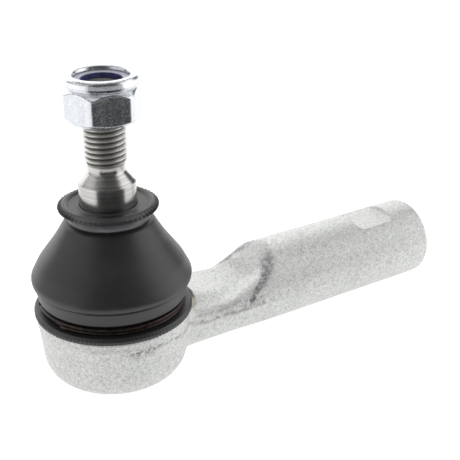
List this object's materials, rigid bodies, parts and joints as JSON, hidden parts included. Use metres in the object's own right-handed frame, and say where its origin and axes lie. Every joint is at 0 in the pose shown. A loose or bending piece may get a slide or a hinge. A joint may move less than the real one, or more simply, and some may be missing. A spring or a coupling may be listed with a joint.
{
  "type": "tie rod end",
  "caption": "Outer tie rod end: forged arm with an internal thread, sealed ball joint under a rubber dust boot, threaded stud and self-locking nut.",
  "frame": {"origin": "centre of the ball, on the shank's axis", "axes": "+X along the shank towards its open end, +Z along the stud at rest, towards the nut"},
  "size_m": [0.1379, 0.0462, 0.0898],
  "materials": {
    "blasted_zinc": "shot-blasted, zinc plated",
    "plated_sheet": "zinc plated sheet",
    "spring_steel": "tempered",
    "seat_plastic": "acetal, greased",
    "ground_steel": "turned and ground",
    "boot_rubber": "satin",
    "ring_wire": "phosphated black",
    "ring_band": "smooth grey",
    "bright_zinc": "bright zinc",
    "insert_nylon": "nylon"
  },
  "bodies": {
    "housing": {"housing": "blasted_zinc", "closure_plate": "plated_sheet", "preload_spring": "spring_steel", "pressure_seat": "seat_plastic", "ball_seat": "seat_plastic", "lower_boot_ring": "ring_wire"},
    "boot": {"dust_boot": "boot_rubber"},
    "upper_ring": {"upper_boot_ring": "ring_band"},
    "stud": {"ball_stud": "ground_steel"},
    "insert": {"nut_insert": "insert_nylon"},
    "nut": {"lock_nut": "bright_zinc"}
  },
  "joints": [
    {"name": "swing_along_shank", "type": "hinge", "parent": "housing", "child": "boot", "pos_m": [0, 0, 0], "axis": [0, 1, 0], "range_deg": [-18, 18], "deforming": ["dust_boot"]},
    {"name": "swing_across_shank", "type": "hinge", "parent": "boot", "child": "upper_ring", "pos_m": [0, 0, 0], "axis": [1, 0, 0], "range_deg": [-18, 18]},
    {"name": "stud_spin", "type": "hinge", "parent": "upper_ring", "child": "stud", "pos_m": [0, 0, 0], "axis": [0, 0, 1], "continuous": true},
    {"name": "nut_run", "type": "slide", "parent": "stud", "child": "insert", "axis": [0, 0, 1], "range_m": [-0.0114, 0.0092]},
    {"name": "nut_turn", "type": "hinge", "parent": "insert", "child": "nut", "pos_m": [0, 0, 0.06], "axis": [0, 0, 1], "range_deg": [-2700, 2160]}
  ],
  "couplings": [
    {"joint": "nut_run", "follows": "nut_turn", "m_per_rad": 0.00023873}
  ]
}
